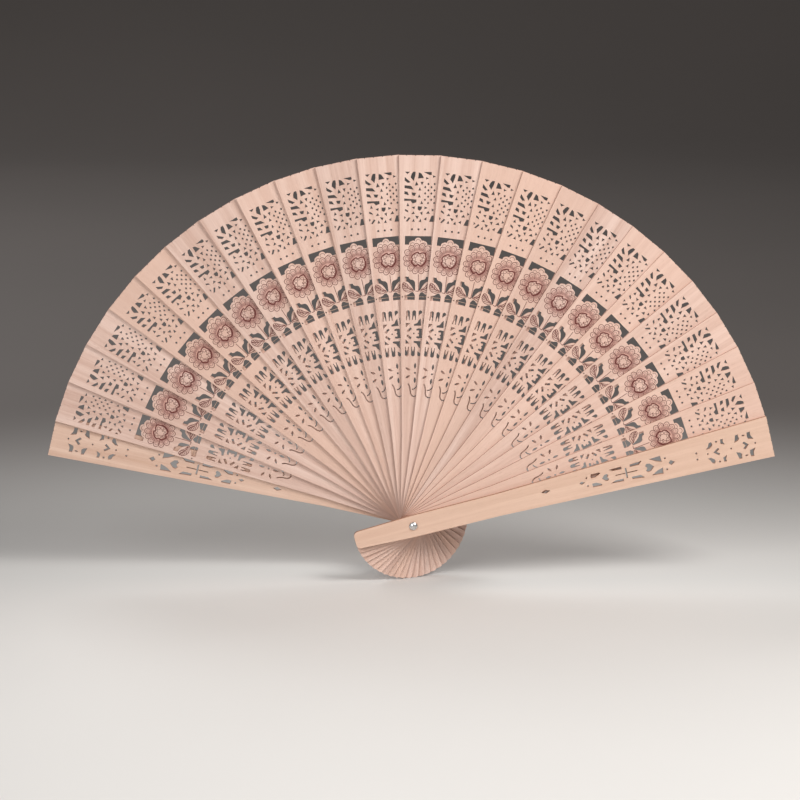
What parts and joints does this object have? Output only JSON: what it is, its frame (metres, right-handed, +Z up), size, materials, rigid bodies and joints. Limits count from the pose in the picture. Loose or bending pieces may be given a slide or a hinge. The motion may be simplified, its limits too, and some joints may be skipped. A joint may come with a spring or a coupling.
{
  "type": "hand fan",
  "caption": "Open folding fan of pierced wooden sticks on one rivet, linked by a thread, with two thicker guards.",
  "frame": {"origin": "on the rivet's axis, halfway through the stack of sticks", "axes": "+X to the right across the open fan, +Y from the front guard to the rear guard along the rivet, +Z up"},
  "size_m": [0.3476, 0.0289, 0.2053],
  "materials": {
    "blade_wood": "matte, fine straight grain",
    "guard_wood": "matte, fine straight grain",
    "rivet_metal": "bright nickel-plated",
    "thread": "fine twisted thread"
  },
  "bodies": {
    "front": {"front_guard": "guard_wood", "rivet_pin": "rivet_metal", "rear_washer": "rivet_metal", "rear_cap": "rivet_metal"},
    "rear_stick": {"rear_guard": "guard_wood"},
    "stick_01": {"blade_01": "blade_wood", "thread_01": "thread"},
    "stick_02": {"blade_02": "blade_wood", "thread_02": "thread"},
    "stick_03": {"blade_03": "blade_wood", "thread_03": "thread"},
    "stick_04": {"blade_04": "blade_wood", "thread_04": "thread"},
    "stick_05": {"blade_05": "blade_wood", "thread_05": "thread"},
    "stick_06": {"blade_06": "blade_wood", "thread_06": "thread"},
    "stick_07": {"blade_07": "blade_wood", "thread_07": "thread"},
    "stick_08": {"blade_08": "blade_wood", "thread_08": "thread"},
    "stick_09": {"blade_09": "blade_wood", "thread_09": "thread"},
    "stick_10": {"blade_10": "blade_wood", "thread_10": "thread"},
    "stick_11": {"blade_11": "blade_wood", "thread_11": "thread"},
    "stick_12": {"blade_12": "blade_wood", "thread_12": "thread"},
    "stick_13": {"blade_13": "blade_wood", "thread_13": "thread"},
    "stick_14": {"blade_14": "blade_wood", "thread_14": "thread"},
    "stick_15": {"blade_15": "blade_wood", "thread_15": "thread"},
    "stick_16": {"blade_16": "blade_wood", "thread_16": "thread"},
    "stick_17": {"blade_17": "blade_wood", "thread_17": "thread"},
    "stick_18": {"blade_18": "blade_wood", "thread_18": "thread"},
    "stick_19": {"blade_19": "blade_wood", "thread_19": "thread"},
    "stick_20": {"blade_20": "blade_wood", "thread_20": "thread"},
    "stick_21": {"blade_21": "blade_wood", "thread_21": "thread"},
    "stick_22": {"blade_22": "blade_wood", "thread_22": "thread"},
    "stick_23": {"blade_23": "blade_wood", "thread_23": "thread"}
  },
  "joints": [
    {"name": "fan_fold", "type": "hinge", "parent": "front", "child": "rear_stick", "pos_m": [0, 0, 0], "axis": [0, 1, 0], "range_deg": [0, 152.7]},
    {"name": "blade_01_turn", "type": "hinge", "parent": "front", "child": "stick_01", "pos_m": [0, 0, 0], "axis": [0, 1, 0], "range_deg": [0, 147.11]},
    {"name": "blade_02_turn", "type": "hinge", "parent": "front", "child": "stick_02", "pos_m": [0, 0, 0], "axis": [0, 1, 0], "range_deg": [0, 140.51]},
    {"name": "blade_03_turn", "type": "hinge", "parent": "front", "child": "stick_03", "pos_m": [0, 0, 0], "axis": [0, 1, 0], "range_deg": [0, 133.91]},
    {"name": "blade_04_turn", "type": "hinge", "parent": "front", "child": "stick_04", "pos_m": [0, 0, 0], "axis": [0, 1, 0], "range_deg": [0, 127.32]},
    {"name": "blade_05_turn", "type": "hinge", "parent": "front", "child": "stick_05", "pos_m": [0, 0, 0], "axis": [0, 1, 0], "range_deg": [0, 120.73]},
    {"name": "blade_06_turn", "type": "hinge", "parent": "front", "child": "stick_06", "pos_m": [0, 0, 0], "axis": [0, 1, 0], "range_deg": [0, 114.17]},
    {"name": "blade_07_turn", "type": "hinge", "parent": "front", "child": "stick_07", "pos_m": [0, 0, 0], "axis": [0, 1, 0], "range_deg": [0, 107.61]},
    {"name": "blade_08_turn", "type": "hinge", "parent": "front", "child": "stick_08", "pos_m": [0, 0, 0], "axis": [0, 1, 0], "range_deg": [0, 101.08]},
    {"name": "blade_09_turn", "type": "hinge", "parent": "front", "child": "stick_09", "pos_m": [0, 0, 0], "axis": [0, 1, 0], "range_deg": [0, 94.56]},
    {"name": "blade_10_turn", "type": "hinge", "parent": "front", "child": "stick_10", "pos_m": [0, 0, 0], "axis": [0, 1, 0], "range_deg": [0, 88.07]},
    {"name": "blade_11_turn", "type": "hinge", "parent": "front", "child": "stick_11", "pos_m": [0, 0, 0], "axis": [0, 1, 0], "range_deg": [0, 81.6]},
    {"name": "blade_12_turn", "type": "hinge", "parent": "front", "child": "stick_12", "pos_m": [0, 0, 0], "axis": [0, 1, 0], "range_deg": [0, 75.16]},
    {"name": "blade_13_turn", "type": "hinge", "parent": "front", "child": "stick_13", "pos_m": [0, 0, 0], "axis": [0, 1, 0], "range_deg": [0, 68.74]},
    {"name": "blade_14_turn", "type": "hinge", "parent": "front", "child": "stick_14", "pos_m": [0, 0, 0], "axis": [0, 1, 0], "range_deg": [0, 62.34]},
    {"name": "blade_15_turn", "type": "hinge", "parent": "front", "child": "stick_15", "pos_m": [0, 0, 0], "axis": [0, 1, 0], "range_deg": [0, 55.97]},
    {"name": "blade_16_turn", "type": "hinge", "parent": "front", "child": "stick_16", "pos_m": [0, 0, 0], "axis": [0, 1, 0], "range_deg": [0, 49.62]},
    {"name": "blade_17_turn", "type": "hinge", "parent": "front", "child": "stick_17", "pos_m": [0, 0, 0], "axis": [0, 1, 0], "range_deg": [0, 43.29]},
    {"name": "blade_18_turn", "type": "hinge", "parent": "front", "child": "stick_18", "pos_m": [0, 0, 0], "axis": [0, 1, 0], "range_deg": [0, 36.98]},
    {"name": "blade_19_turn", "type": "hinge", "parent": "front", "child": "stick_19", "pos_m": [0, 0, 0], "axis": [0, 1, 0], "range_deg": [0, 30.69]},
    {"name": "blade_20_turn", "type": "hinge", "parent": "front", "child": "stick_20", "pos_m": [0, 0, 0], "axis": [0, 1, 0], "range_deg": [0, 24.41]},
    {"name": "blade_21_turn", "type": "hinge", "parent": "front", "child": "stick_21", "pos_m": [0, 0, 0], "axis": [0, 1, 0], "range_deg": [0, 18.14]},
    {"name": "blade_22_turn", "type": "hinge", "parent": "front", "child": "stick_22", "pos_m": [0, 0, 0], "axis": [0, 1, 0], "range_deg": [0, 11.87]},
    {"name": "blade_23_turn", "type": "hinge", "parent": "front", "child": "stick_23", "pos_m": [0, 0, 0], "axis": [0, 1, 0], "range_deg": [0, 5.61]}
  ],
  "couplings": [
    {"joint": "blade_01_turn", "follows": "fan_fold", "ratio": 0.96333},
    {"joint": "blade_02_turn", "follows": "fan_fold", "ratio": 0.92009},
    {"joint": "blade_03_turn", "follows": "fan_fold", "ratio": 0.87687},
    {"joint": "blade_04_turn", "follows": "fan_fold", "ratio": 0.8337},
    {"joint": "blade_05_turn", "follows": "fan_fold", "ratio": 0.7906},
    {"joint": "blade_06_turn", "follows": "fan_fold", "ratio": 0.74758},
    {"joint": "blade_07_turn", "follows": "fan_fold", "ratio": 0.70466},
    {"joint": "blade_08_turn", "follows": "fan_fold", "ratio": 0.66187},
    {"joint": "blade_09_turn", "follows": "fan_fold", "ratio": 0.61921},
    {"joint": "blade_10_turn", "follows": "fan_fold", "ratio": 0.5767},
    {"joint": "blade_11_turn", "follows": "fan_fold", "ratio": 0.53434},
    {"joint": "blade_12_turn", "follows": "fan_fold", "ratio": 0.49214},
    {"joint": "blade_13_turn", "follows": "fan_fold", "ratio": 0.4501},
    {"joint": "blade_14_turn", "follows": "fan_fold", "ratio": 0.40822},
    {"joint": "blade_15_turn", "follows": "fan_fold", "ratio": 0.36649},
    {"joint": "blade_16_turn", "follows": "fan_fold", "ratio": 0.32491},
    {"joint": "blade_17_turn", "follows": "fan_fold", "ratio": 0.28346},
    {"joint": "blade_18_turn", "follows": "fan_fold", "ratio": 0.24213},
    {"joint": "blade_19_turn", "follows": "fan_fold", "ratio": 0.20091},
    {"joint": "blade_20_turn", "follows": "fan_fold", "ratio": 0.15977},
    {"joint": "blade_21_turn", "follows": "fan_fold", "ratio": 0.1187},
    {"joint": "blade_22_turn", "follows": "fan_fold", "ratio": 0.077675},
    {"joint": "blade_23_turn", "follows": "fan_fold", "ratio": 0.036673}
  ]
}
